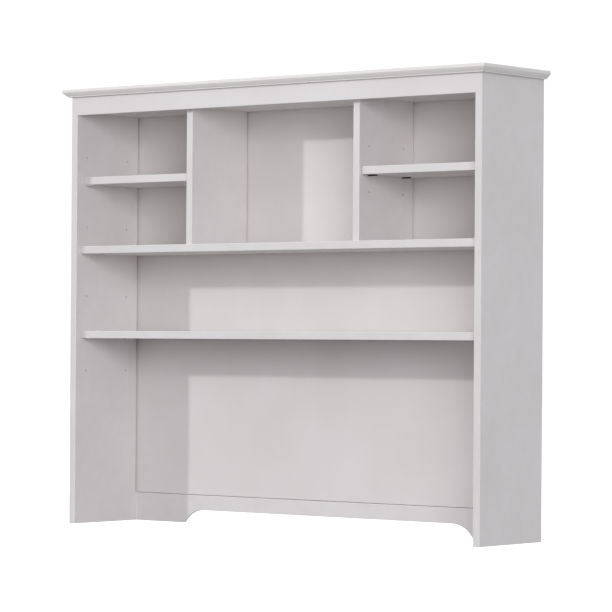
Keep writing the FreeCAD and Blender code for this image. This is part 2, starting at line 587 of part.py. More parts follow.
def build():
    """Every sub-part by name; a value is one solid or a list of separate solids."""
    down, up, forward = (0, 0, -1), (0, 0, 1), (0, -1, 0)
    return {
        "side_panel_right": drilled_side(RIGHT_BAY_SPARE_ROWS),
        "side_panel_left": mirrored(drilled_side(LEFT_BAY_SPARE_ROWS)),
        "top_cap": top_cap(),
        "top_panel": top_panel(),
        "fascia_rail": fascia_rail(),
        "cap_batten": cap_batten(),
        "upper_shelf": upper_shelf(),
        "partition_right": partition(RIGHT_BAY_SPARE_ROWS),
        "partition_left": mirrored(partition(LEFT_BAY_SPARE_ROWS)),
        "back_panel": back_panel(),
        "bottom_rail": bottom_rail(),
        "lower_shelf": loose_shelf(-INNER, INNER, LOWER_SHELF_SETBACK, LOWER_BOTTOM),
        "small_shelf_right": loose_shelf(PARTITION_OUTER, INNER, SMALL_SHELF_SETBACK, SMALL_BOTTOM),
        "small_shelf_left": loose_shelf(-INNER, -PARTITION_OUTER, SMALL_SHELF_SETBACK, SMALL_BOTTOM),
        "supports_lower_shelf": bay_supports(-INNER, INNER, SIDE_PIN_COLUMNS, SIDE_PIN_COLUMNS, LOWER_BOTTOM),
        "supports_small_right": bay_supports(PARTITION_OUTER, INNER, PARTITION_PIN_COLUMNS, SIDE_PIN_COLUMNS,
                                             SMALL_BOTTOM),
        "supports_small_left": bay_supports(-INNER, -PARTITION_OUTER, SIDE_PIN_COLUMNS, PARTITION_PIN_COLUMNS,
                                            SMALL_BOTTOM),
        "cam_bolts_upper_shelf": side_fittings(cam_bolt, UPPER_CAMS),
        "cam_bolts_top_panel": side_fittings(cam_bolt, TOP_CAMS),
        "cam_bolts_fascia": side_fittings(cam_bolt, FASCIA_CAMS),
        "cam_bolts_bottom_rail": side_fittings(cam_bolt, RAIL_CAMS),
        "cam_locks_upper_shelf": side_fittings(cam_lock, UPPER_CAMS, up, UPPER_BOTTOM),
        "cam_locks_top_panel": side_fittings(cam_lock, TOP_CAMS, down, TOP_PANEL_TOP),
        "cam_locks_fascia": side_fittings(cam_lock, FASCIA_CAMS, forward, FRONT + BOARD),
        "cam_locks_bottom_rail": side_fittings(cam_lock, RAIL_CAMS, forward, REAR),
        "dowels_upper_shelf": side_fittings(side_dowel, UPPER_DOWELS),
        "dowels_top_panel": side_fittings(side_dowel, TOP_DOWELS),
        "dowels_fascia": side_fittings(side_dowel, FASCIA_DOWELS),
        "dowels_bottom_rail": side_fittings(side_dowel, RAIL_DOWELS),
        "dowels_batten": side_fittings(side_dowel, BATTEN_DOWELS),
        "dowels_partitions": partition_dowels(),
        "screws_partitions": partition_screws(),
        "screws_cap": cap_screws(),
        "covers_cap_screws": screw_covers(),
        "screws_back_panel": back_panel_screws(),
        "base_inserts": base_inserts(),
    }


def main():
    """Write one STEP file per sub-part."""
    os.makedirs("parts", exist_ok=True)
    for name, part in build().items():
        shape = Part.Compound(part) if isinstance(part, list) else part
        solids = shape.Solids
        if not shape.isValid() or not solids:
            raise ValueError("bad shape: " + name)
        body = solids[0] if len(solids) == 1 else Part.Compound(solids)
        body.exportStep(os.path.join("parts", name + ".step"))
        print(name, len(solids), round(shape.Volume / 1000, 1), "cm3")


main()
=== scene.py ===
"""A white desk hutch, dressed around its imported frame.

The frame brings every board and fitting in place. This file gives each of them a finish, makes the
small fittings that need finer surfaces than flat solids, and sets up the floor, lights and camera.
Lengths are in metres unless a name ends in _mm. +X is right, +Y is back and +Z is up.
"""
import logging
import math
from dataclasses import dataclass, field
from enum import Enum
from typing import Any, Iterable, Optional

import bmesh
import bpy
import numpy as np
from mathutils import Matrix, Vector


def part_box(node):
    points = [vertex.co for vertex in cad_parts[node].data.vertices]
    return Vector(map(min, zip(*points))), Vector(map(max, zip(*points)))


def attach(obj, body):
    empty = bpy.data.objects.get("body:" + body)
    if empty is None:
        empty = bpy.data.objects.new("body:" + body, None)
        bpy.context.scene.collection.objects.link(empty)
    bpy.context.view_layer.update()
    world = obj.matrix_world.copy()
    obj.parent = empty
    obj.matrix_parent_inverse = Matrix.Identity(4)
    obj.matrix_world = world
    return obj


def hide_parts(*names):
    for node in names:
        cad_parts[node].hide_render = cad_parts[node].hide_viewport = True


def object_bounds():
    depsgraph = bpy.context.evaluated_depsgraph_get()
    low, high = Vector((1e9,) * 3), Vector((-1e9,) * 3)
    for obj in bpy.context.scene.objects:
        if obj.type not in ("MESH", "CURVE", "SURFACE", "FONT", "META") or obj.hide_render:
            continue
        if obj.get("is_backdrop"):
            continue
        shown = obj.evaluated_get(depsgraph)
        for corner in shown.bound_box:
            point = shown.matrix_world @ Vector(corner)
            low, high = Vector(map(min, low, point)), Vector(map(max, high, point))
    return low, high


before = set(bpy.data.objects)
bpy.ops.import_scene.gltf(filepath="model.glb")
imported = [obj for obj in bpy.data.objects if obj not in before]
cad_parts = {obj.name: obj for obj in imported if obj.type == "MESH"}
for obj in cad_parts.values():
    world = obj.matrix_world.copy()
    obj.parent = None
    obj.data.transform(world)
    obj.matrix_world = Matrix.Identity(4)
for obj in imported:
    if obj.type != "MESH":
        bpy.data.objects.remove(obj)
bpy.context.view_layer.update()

LOG = logging.getLogger("hutch")
MM = 0.001
CASE = "case"
WELD_MM = 0.002                    # points nearer than this become one
SLIVER_MM = 0.001                  # edges shorter than this are taken out
SQUARE_ON, FULL_ARRIS = 0.99, 0.93  # largest part of a normal: on a flat face, on a rounded edge

# Sockets by number, where a node has several of one name: the two colours and the mixed colour of
# a Mix node, its two numbers, and the limits of a Map Range node.
COLOUR_A, COLOUR_B, MIXED = 6, 7, 2
NUMBER_A, NUMBER_B = 2, 3
FROM_LOW, FROM_HIGH, TO_LOW, TO_HIGH = 1, 2, 3, 4


class Axis(Enum):
    """A row axis, with its index."""

    X = 0
    Y = 1
    Z = 2


class Face(Enum):
    """Which way a surface or a light looks, as a unit vector."""

    LEFT = (-1.0, 0.0, 0.0)
    RIGHT = (1.0, 0.0, 0.0)
    FRONT = (0.0, -1.0, 0.0)
    REAR = (0.0, 1.0, 0.0)
    UP = (0.0, 0.0, 1.0)


# ---------------------------------------------------------------------------------------------
# Colours and material nodes


def linear(hex_colour: str) -> tuple[float, float, float, float]:
    """Turn an sRGB hex colour into linear RGBA.

    The curve is c / 12.92 up to 0.04045, and ((c + 0.055) / 1.055)^2.4 above.

    Args:
        hex_colour: Six hex digits after a hash, such as "#D6D5D8".

    Returns:
        Red, green, blue and an alpha of 1, all linear.
    """
    channels = np.array([int(hex_colour[k:k + 2], 16) for k in (1, 3, 5)]) / 255
    low = channels / 12.92
    high = ((channels + 0.055) / 1.055) ** 2.4
    red, green, blue = np.where(channels <= 0.04045, low, high)
    return float(red), float(green), float(blue), 1.0


def add(tree: bpy.types.NodeTree, kind: str, inputs: Optional[dict[Any, Any]] = None,
        **settings: Any) -> bpy.types.Node:
    """Add one shader node.

    Args:
        tree: The node tree.
        kind: The node's class, without its "ShaderNode" prefix.
        inputs: Socket name or index to a value, to an output socket to link from, or to a node
            whose first output is linked.
        settings: Attributes of the node itself.

    Returns:
        The new node.
    """
    node = tree.nodes.new("ShaderNode" + kind)
    for name, value in settings.items():
        setattr(node, name, value)
    for key, value in (inputs or {}).items():
        if isinstance(value, bpy.types.Node):
            value = value.outputs[0]
        if isinstance(value, bpy.types.NodeSocket):
            tree.links.new(value, node.inputs[key])
        else:
            node.inputs[key].default_value = value
    return node


def new_material(name: str) -> tuple[bpy.types.Material, bpy.types.NodeTree, bpy.types.NodeSocket]:
    """Start a material with an empty tree.

    Args:
        name: The finish's plain name.

    Returns:
        The material, its tree and the Object coordinates of whatever wears it.
    """
    material = bpy.data.materials.new(name)
    material.use_nodes = True
    tree = material.node_tree
    tree.nodes.clear()
    return material, tree, add(tree, "TexCoord").outputs["Object"]


def per_metre(size_mm: float) -> float:
    """The scale of a pattern on Object coordinates whose features are size_mm apart."""
    return 1 / (size_mm * MM)


def arris_highlight_mask(tree: bpy.types.NodeTree) -> bpy.types.Node:
    """Pick out rounded arrises and splayed faces from the faces square to the row's axes.

    It rises from 0 to 1 as the largest part of the face's normal, without its sign, falls from
    SQUARE_ON to FULL_ARRIS. The lacquer mixes its painted highlight in by it.

    Args:
        tree: The material's tree.

    Returns:
        The node whose first output is the mask.
    """
    normal = add(tree, "NewGeometry").outputs["True Normal"]
    unsigned = add(tree, "VectorMath", {0: normal}, operation="ABSOLUTE")
    parts = add(tree, "SeparateXYZ", {0: unsigned})
    pair = add(tree, "Math", {0: parts.outputs[0], 1: parts.outputs[1]}, operation="MAXIMUM")
    largest = add(tree, "Math", {0: pair, 1: parts.outputs[2]}, operation="MAXIMUM")
    return add(tree, "MapRange", {0: largest, FROM_LOW: SQUARE_ON, FROM_HIGH: FULL_ARRIS})


@dataclass(frozen=True)
class Lacquer:
    """Satin white lacquer, sprayed on fibreboard and left as it flowed out.

    It looks milky and even, with a faint orange peel that breaks up its soft highlight, and slow
    drifts of tone where the coat is thicker. Handling dulls it in places. Its rounded arrises are
    given a lighter colour, as a painted highlight.
    """

    name: str
    slot: str
    colour: str = "#E8E4E4"        # fresh lacquer
    drift: str = "#E2DDDC"         # where the coat is thin and the primer warms it
    arris_highlight: str = "#F5F3F3"         # painted highlight on the rounded edges, lighter than the body
    roughness: float = 0.42
    ior: float = 1.5               # acrylic lacquer
    drift_mm: float = 170.0
    mottle_mm: float = 28.0        # faint clouding of the sprayed coat
    mottle_share: float = 0.4
    peel_mm: float = 5.0           # real orange peel is about 2 mm; drawn coarser so that it shows
    peel_height_mm: float = 0.02
    tone_limits: tuple[float, float] = (0.35, 0.65)
    gloss_limits: tuple[float, float] = (0.3, 0.7)
    polish: float = 0.05           # less roughness where hands have rubbed it
    dulling: float = 0.07          # more roughness where they have dulled it

    def build(self) -> bpy.types.Material:
        """Make the material: drifting tone, painted arris highlight, peel bump and handled gloss.

        Returns:
            The material.
        """
        material, tree, place = new_material(self.name)
        cloud = add(tree, "TexNoise", {"Vector": place, "Scale": per_metre(self.drift_mm),
                                       "Detail": 3.0, "Roughness": 0.55})
        mottle = add(tree, "TexNoise", {"Vector": place, "Scale": per_metre(self.mottle_mm),
                                        "Detail": 4.0, "Roughness": 0.6})
        both = add(tree, "Mix", {0: self.mottle_share, NUMBER_A: cloud, NUMBER_B: mottle})
        low, high = self.tone_limits
        tone = add(tree, "MapRange", {0: both, FROM_LOW: low, FROM_HIGH: high})
        body = add(tree, "Mix", {0: tone, COLOUR_A: linear(self.drift),
                                 COLOUR_B: linear(self.colour)}, data_type="RGBA")
        # Painted highlight: the rounded arrises are mixed towards a lighter colour.
        coat_and_highlight = add(tree, "Mix", {0: arris_highlight_mask(tree), COLOUR_A: body.outputs[MIXED],
                                 COLOUR_B: linear(self.arris_highlight)}, data_type="RGBA")
        low, high = self.gloss_limits
        gloss = add(tree, "MapRange", {0: mottle, FROM_LOW: low, FROM_HIGH: high,
                                       TO_LOW: self.roughness - self.polish,
                                       TO_HIGH: self.roughness + self.dulling})
        peel = add(tree, "TexNoise", {"Vector": place, "Scale": per_metre(self.peel_mm),
                                      "Detail": 2.0, "Roughness": 0.4})
        bump = add(tree, "Bump", {"Strength": 0.6, "Distance": self.peel_height_mm * MM,
                                  "Height": peel})
        shader = add(tree, "BsdfPrincipled", {"Base Color": coat_and_highlight.outputs[MIXED],
                                              "Roughness": gloss, "IOR": self.ior,
                                              "Normal": bump})
        add(tree, "OutputMaterial", {"Surface": shader})
        return material


@dataclass(frozen=True)
class BackBoard:
    """Thin hardboard: lacquered white on its face, raw pressed fibre on its rear.

    The face is a little flatter and greyer than the thick boards. The rear is warm brown with the
    fine felt of matted fibres and the faint mesh of the screen it was pressed on.
    """

    name: str
    slot: str
    rear_plane: float              # Y beyond which the fibre is raw
    colour: str = "#E8E3E2"
    drift: str = "#E1DCDA"
    fibre: str = "#B08A60"
    fibre_dark: str = "#8A6642"
    roughness: float = 0.5
    raw_roughness: float = 0.85
    ior: float = 1.5
    drift_mm: float = 220.0
    fibre_mm: float = 3.0          # matted fibres
    mesh_mm: float = 2.5           # screen pattern; a real screen is about 1.5 mm, drawn coarser
    relief_mm: float = 0.08
    tone_limits: tuple[float, float] = (0.32, 0.68)
    matting_limits: tuple[float, float] = (0.35, 0.65)

    def build(self) -> bpy.types.Material:
        """Make the material: a lacquered face and a raw rear, split at a plane.

        Returns:
            The material.
        """
        material, tree, place = new_material(self.name)
        cloud = add(tree, "TexNoise", {"Vector": place, "Scale": per_metre(self.drift_mm),
                                       "Detail": 3.0})
        low, high = self.tone_limits
        tone = add(tree, "MapRange", {0: cloud, FROM_LOW: low, FROM_HIGH: high})
        face = add(tree, "Mix", {0: tone, COLOUR_A: linear(self.drift),
                                 COLOUR_B: linear(self.colour)}, data_type="RGBA")
        felt = add(tree, "TexNoise", {"Vector": place, "Scale": per_metre(self.fibre_mm),
                                      "Detail": 6.0, "Roughness": 0.7, "Distortion": 1.2})
        low, high = self.matting_limits
        matting = add(tree, "MapRange", {0: felt, FROM_LOW: low, FROM_HIGH: high})
        raw = add(tree, "Mix", {0: matting, COLOUR_A: linear(self.fibre_dark),
                                COLOUR_B: linear(self.fibre)}, data_type="RGBA")
        across = add(tree, "SeparateXYZ", {0: place}).outputs["Y"]
        is_rear = add(tree, "Math", {0: across, 1: self.rear_plane}, operation="GREATER_THAN")
        colour = add(tree, "Mix", {0: is_rear, COLOUR_A: face.outputs[MIXED],
                                   COLOUR_B: raw.outputs[MIXED]}, data_type="RGBA")
        gloss = add(tree, "MapRange", {0: is_rear, TO_LOW: self.roughness,
                                       TO_HIGH: self.raw_roughness})
        screen = add(tree, "TexVoronoi", {"Vector": place, "Scale": per_metre(self.mesh_mm),
                                          "Randomness": 0.25})
        relief = add(tree, "Math", {0: screen, 1: is_rear}, operation="MULTIPLY")
        bump = add(tree, "Bump", {"Strength": 0.7, "Distance": self.relief_mm * MM,
                                  "Height": relief})
        shader = add(tree, "BsdfPrincipled", {"Base Color": colour.outputs[MIXED],
                                              "Roughness": gloss, "IOR": self.ior,
                                              "Normal": bump})
        add(tree, "OutputMaterial", {"Surface": shader})
        return material


@dataclass(frozen=True)
class Timber:
    """Plain planed timber with its grain along one axis.

    Growth rings read as soft bands along the piece, with short darker pores between them.
    """

    name: str
    slot: str
    along: Axis
    early: str
    late: str
    roughness: float = 0.62
    ior: float = 1.5
    ring_mm: float = 6.0
    pore_mm: float = 1.2
    pore_depth_mm: float = 0.05
    stretch: float = 0.06          # scale along the grain, as a share of that across it
    tone_limits: tuple[float, float] = (0.12, 0.38)

    def build(self) -> bpy.types.Material:
        """Make the material: rings stretched along the grain, and pores.

        Returns:
            The material.
        """
        material, tree, place = new_material(self.name)
        scales = [1.0, 1.0, 1.0]
        scales[self.along.value] = self.stretch
        grain = add(tree, "Mapping", {"Vector": place, "Scale": tuple(scales)})
        rings = add(tree, "TexNoise", {"Vector": grain, "Scale": per_metre(self.ring_mm),
                                       "Detail": 4.0, "Distortion": 0.8})
        pores = add(tree, "TexNoise", {"Vector": grain, "Scale": per_metre(self.pore_mm),
                                       "Detail": 2.0})
        both = add(tree, "Math", {0: rings, 1: pores}, operation="MULTIPLY")
        low, high = self.tone_limits
        tone = add(tree, "MapRange", {0: both, FROM_LOW: low, FROM_HIGH: high})
        colour = add(tree, "Mix", {0: tone, COLOUR_A: linear(self.late),
                                   COLOUR_B: linear(self.early)}, data_type="RGBA")
        bump = add(tree, "Bump", {"Strength": 0.4, "Distance": self.pore_depth_mm * MM,
                                  "Height": pores})
        shader = add(tree, "BsdfPrincipled", {"Base Color": colour.outputs[MIXED], "IOR": self.ior,
                                              "Roughness": self.roughness, "Normal": bump})
        add(tree, "OutputMaterial", {"Surface": shader})
        return material


@dataclass(frozen=True)
class PlatedMetal:
    """A plated or cast metal: nearly even, with fine mottling from the bath or the mould."""

    name: str
    slot: str
    colour: str
    stain: str
    roughness: float
    mottle_mm: float = 1.5
    relief_mm: float = 0.02
    mottle_limits: tuple[float, float] = (0.3, 0.7)
    polish: float = 0.05           # less roughness on the bright parts
    dulling: float = 0.08          # more roughness on the stained parts

    def build(self) -> bpy.types.Material:
        """Make the material: mottled colour and roughness over a fine bump.

        Returns:
            The material.
        """
        material, tree, place = new_material(self.name)
        mottle = add(tree, "TexNoise", {"Vector": place, "Scale": per_metre(self.mottle_mm),
                                        "Detail": 4.0, "Roughness": 0.6})
        low, high = self.mottle_limits
        spread = add(tree, "MapRange", {0: mottle, FROM_LOW: low, FROM_HIGH: high})
        colour = add(tree, "Mix", {0: spread, COLOUR_A: linear(self.stain),
                                   COLOUR_B: linear(self.colour)}, data_type="RGBA")
        gloss = add(tree, "MapRange", {0: mottle, FROM_LOW: low, FROM_HIGH: high,
                                       TO_LOW: self.roughness + self.dulling,
                                       TO_HIGH: self.roughness - self.polish})
        bump = add(tree, "Bump", {"Strength": 0.5, "Distance": self.relief_mm * MM,
                                  "Height": mottle})
        shader = add(tree, "BsdfPrincipled", {"Base Color": colour.outputs[MIXED],
                                              "Metallic": 1.0, "Roughness": gloss,
                                              "Normal": bump})
        add(tree, "OutputMaterial", {"Surface": shader})
        return material


@dataclass(frozen=True)
class MouldedPlastic:
    """White moulded polythene: soft, waxy and very slightly grained by its mould."""

    name: str
    slot: str
    colour: str = "#EDEBE8"
    shade: str = "#E2DFDA"
    roughness: float = 0.38
    ior: float = 1.51
    grain_mm: float = 1.0
    relief_mm: float = 0.02
    translucence: float = 0.05     # share of the light that goes in and comes out again

    def build(self) -> bpy.types.Material:
        """Make the material: a little grain in tone and bump.

        Returns:
            The material.
        """
        material, tree, place = new_material(self.name)
        grain = add(tree, "TexNoise", {"Vector": place, "Scale": per_metre(self.grain_mm),
                                       "Detail": 3.0})
        colour = add(tree, "Mix", {0: grain, COLOUR_A: linear(self.shade),
                                   COLOUR_B: linear(self.colour)}, data_type="RGBA")
        bump = add(tree, "Bump", {"Strength": 0.5, "Distance": self.relief_mm * MM,
                                  "Height": grain})
        shader = add(tree, "BsdfPrincipled", {"Base Color": colour.outputs[MIXED], "IOR": self.ior,
                                              "Roughness": self.roughness, "Normal": bump,
                                              "Subsurface Weight": self.translucence})
        add(tree, "OutputMaterial", {"Surface": shader})
        return material


# ---------------------------------------------------------------------------------------------
# Surfaces


@dataclass
class Shell:
    """A surface as arrays: its points, and its faces of four corners each."""

    points: np.ndarray
    faces: np.ndarray

    def moved(self, offset: Iterable[float]) -> "Shell":
        """The shell shifted by an offset."""
        return Shell(self.points + np.asarray(tuple(offset)), self.faces)

    def turned(self, matrix: Matrix) -> "Shell":
        """The shell turned about the origin by a rotation."""
        return Shell(self.points @ np.array(matrix.to_3x3()).T, self.faces)


def grid_shell(points: np.ndarray, wrap: bool = False) -> Shell:
    """Make a shell from a grid of points.

    Face (i, j) joins grid points (i, j), (i, j+1), (i+1, j+1) and (i+1, j).

    Args:
        points: Rows by columns by three.
        wrap: Whether the last column joins the first.

    Returns:
        The shell.
    """
    rows, columns = points.shape[:2]
    across = columns if wrap else columns - 1
    i, j = np.meshgrid(np.arange(rows - 1), np.arange(across), indexing="ij")
    right = (j + 1) % columns
    corners = (i * columns + j, i * columns + right,
               (i + 1) * columns + right, (i + 1) * columns + j)
    return Shell(points.reshape(-1, 3), np.stack([c.ravel() for c in corners], axis=1))


def joined(shells: Iterable[Shell]) -> Shell:
    """Put several shells into one.

    Args:
        shells: The shells.

    Returns:
        One shell with all their points and faces.
    """
    parts = list(shells)
    starts = np.cumsum([0] + [len(part.points) for part in parts[:-1]])
    faces = [part.faces + start for part, start in zip(parts, starts)]
    return Shell(np.concatenate([part.points for part in parts]), np.concatenate(faces))


def revolved(profile: np.ndarray, segments: int) -> Shell:
    """Turn a profile about Z.

    Point (i, j) is (r_i cos a_j, r_i sin a_j, z_i), with a_j from 0 to a full turn.

    Args:
        profile: Radius and height pairs. A radius of zero closes an end.
        segments: Steps in the turn.

    Returns:
        The shell.
    """
    angle = np.linspace(0, 2 * np.pi, segments, endpoint=False)
    radius, height = profile[:, :1], profile[:, 1:]
    points = np.stack([radius * np.cos(angle), radius * np.sin(angle),
                       np.broadcast_to(height, (len(profile), segments))], axis=-1)
    return grid_shell(points, wrap=True)


def rounded_profile(corners: list[tuple[float, float]], radius: float,
                    steps: int = 4) -> np.ndarray:
    """Round the inner corners of a profile.

    Each corner becomes a quadratic curve from radius before it to radius after it: with a and b
    those two points and c the corner, the curve is (1-t)^2 a + 2t(1-t) c + t^2 b.

    Args:
        corners: The profile's corners, in order.
        radius: Distance from a corner to where its curve starts, at most half of either side.
        steps: Points on each curve, less one.

    Returns:
        The rounded profile's points.
    """
    points = [np.array(corners[0])]
    t = np.linspace(0, 1, steps + 1)[:, None]
    for before, corner, after in zip(corners, corners[1:], corners[2:]):
        c = np.array(corner)
        back, ahead = np.array(before) - c, np.array(after) - c
        reach = min(radius, np.linalg.norm(back) / 2, np.linalg.norm(ahead) / 2)
        a = c + back / np.linalg.norm(back) * reach
        b = c + ahead / np.linalg.norm(ahead) * reach
        points.extend((1 - t) ** 2 * a + 2 * t * (1 - t) * c + t ** 2 * b)
    points.append(np.array(corners[-1]))
    return np.array(points)


def facing(direction: Face) -> Matrix:
    """The rotation that turns +Z to a face's direction."""
    return Vector((0, 0, 1)).rotation_difference(Vector(direction.value)).to_matrix().to_4x4()


def make_piece(name: str, shell: Shell, sharp_deg: float = 35.0) -> bpy.types.Object:
    """Put a shell into a mesh object, with its seams welded and its faces outwards.

    Args:
        name: The piece's name.
        shell: Its surface.
        sharp_deg: Faces that meet at more than this stay crisp.

    Returns:
        The object, at the origin.
    """
    mesh = bpy.data.meshes.new(name)
    mesh.from_pydata(shell.points.tolist(), [], shell.faces.tolist())
    work = bmesh.new()
    work.from_mesh(mesh)
    bmesh.ops.remove_doubles(work, verts=work.verts, dist=WELD_MM * MM)
    bmesh.ops.dissolve_degenerate(work, edges=work.edges, dist=SLIVER_MM * MM)
    bmesh.ops.recalc_face_normals(work, faces=work.faces)
    work.to_mesh(mesh)
    work.free()
    mesh.shade_smooth()
    mesh.set_sharp_from_angle(angle=math.radians(sharp_deg))
    piece = bpy.data.objects.new(name, mesh)
    bpy.context.scene.collection.objects.link(piece)
    return piece


def dress(piece: bpy.types.Object, material: bpy.types.Material) -> None:
    """Give an object one material all over."""
    piece.data.materials.clear()
    piece.data.materials.append(material)


def dress_node(node: str, material: bpy.types.Material) -> None:
    """Give a frame node one material, and log it."""
    dress(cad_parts[node], material)
    LOG.info("%s wears %s", node, material.name)


def solids_of(node: str, gap_mm: float = 30.0) -> list[tuple[np.ndarray, np.ndarray]]:
    """Find the separate solids of a node, which stand well apart.

    The points are sorted along each axis in turn, and parted where the next one is further on
    than the gap.

    Args:
        node: The node's name.
        gap_mm: The least distance between two solids. No solid has a longer plain stretch.

    Returns:
        The lowest and highest corner of each solid.
    """
    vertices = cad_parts[node].data.vertices
    points = np.empty(len(vertices) * 3)
    vertices.foreach_get("co", points)
    groups = [points.reshape(-1, 3)]
    for axis in Axis:
        ranks = [group[np.argsort(group[:, axis.value], kind="stable")] for group in groups]
        groups = [part for rank in ranks for part in
                  np.split(rank, np.nonzero(np.diff(rank[:, axis.value]) > gap_mm * MM)[0] + 1)]
    LOG.info("%s has %d solids", node, len(groups))
    return [(group.min(axis=0), group.max(axis=0)) for group in groups]


def settle(piece: bpy.types.Object, slot: str, *nodes: str) -> None:
    """Let a new piece ride on the case in place of nodes.

    Args:
        piece: The new piece.
        slot: Its material slot in the frame's record. It is not used.
        nodes: The nodes that it stands for.
    """
    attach(piece, CASE)
    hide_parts(*nodes)
    LOG.info("%s stands for %s", piece.name, ", ".join(nodes))


# ---------------------------------------------------------------------------------------------
# Sub-assemblies


@dataclass
class Case:
    """The fixed boards: sides, top panel, fascia, partitions, upper shelf, rail and back."""

    boards: tuple[str, ...] = ("side_panel_left", "side_panel_right", "top_panel", "fascia_rail",
                               "upper_shelf", "partition_left", "partition_right", "bottom_rail")
    lacquer: Lacquer = Lacquer("satin_lacquer", "painted_board")
    batten: Timber = Timber("planed_pine", "raw_batten", Axis.X, "#D9B98A", "#B98E59")
    rear_skin_mm: float = 0.2      # depth of the back panel's raw rear

    def dress(self) -> None:
        """Lacquer the boards, and finish the back panel and the batten."""
        material = self.lacquer.build()
        for board in self.boards:
            dress_node(board, material)
        raw_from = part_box("back_panel")[1].y - self.rear_skin_mm * MM
        dress_node("back_panel", BackBoard("hardboard_back", "painted_back", raw_from).build())
        dress_node("cap_batten", self.batten.build())


@dataclass
class Cap:
    """The moulded cap and the covers over its screws."""

    # Painted light: the moulding is lacquered lighter than the boards so that the cap and its cove
    # read brighter, and its leaning cove takes the lighter arris colour as a painted highlight.
    moulding: Lacquer = Lacquer("moulding_lacquer", "painted_moulding", colour="#F4F0ED",
                                drift="#ECE8E4", arris_highlight="#F9F6F3", roughness=0.4)
    cover_dome_mm: float = 0.35
    cover_edge_mm: float = 0.4
    cover_flat: float = 0.55       # share of the radius inside which the cover is level
    cover_segments: int = 40

    def dress(self) -> None:
        """Lacquer the cap."""
        dress_node("top_cap", self.moulding.build())

    def covers(self) -> None:
        """Make the screw covers: discs with a rolled edge and a very low dome, turned about Z."""
        shells = []
        for low, high in solids_of("covers_cap_screws"):
            radius = (high[0] - low[0]) / 2
            top = high[2]
            edge = top - self.cover_dome_mm * MM
            profile = rounded_profile([(0, low[2]), (radius, low[2]), (radius, edge),
                                       (self.cover_flat * radius, top), (0, top)],
                                      self.cover_edge_mm * MM)
            middle = (low + high) / 2
            shells.append(revolved(profile, self.cover_segments).moved((middle[0], middle[1], 0)))
        piece = make_piece("cap_screw_covers", joined(shells))
        finish = MouldedPlastic("moulded_cover", "cover_plastic")
        dress(piece, finish.build())
        settle(piece, finish.slot, "covers_cap_screws")


@dataclass
class Shelves:
    """The three loose shelves."""

    shelves: tuple[str, ...] = ("lower_shelf", "small_shelf_left", "small_shelf_right")
    lacquer: Lacquer = Lacquer("shelf_lacquer", "painted_board", roughness=0.4)

    def dress(self) -> None:
        """Lacquer the shelves."""
        material = self.lacquer.build()
        for shelf in self.shelves:
            dress_node(shelf, material)


@dataclass(frozen=True)
class SupportSet:
    """The supports of one shelf: the frame's node, the piece made for it and its finish."""

    node: str
    piece: str
    finish: PlatedMetal | MouldedPlastic


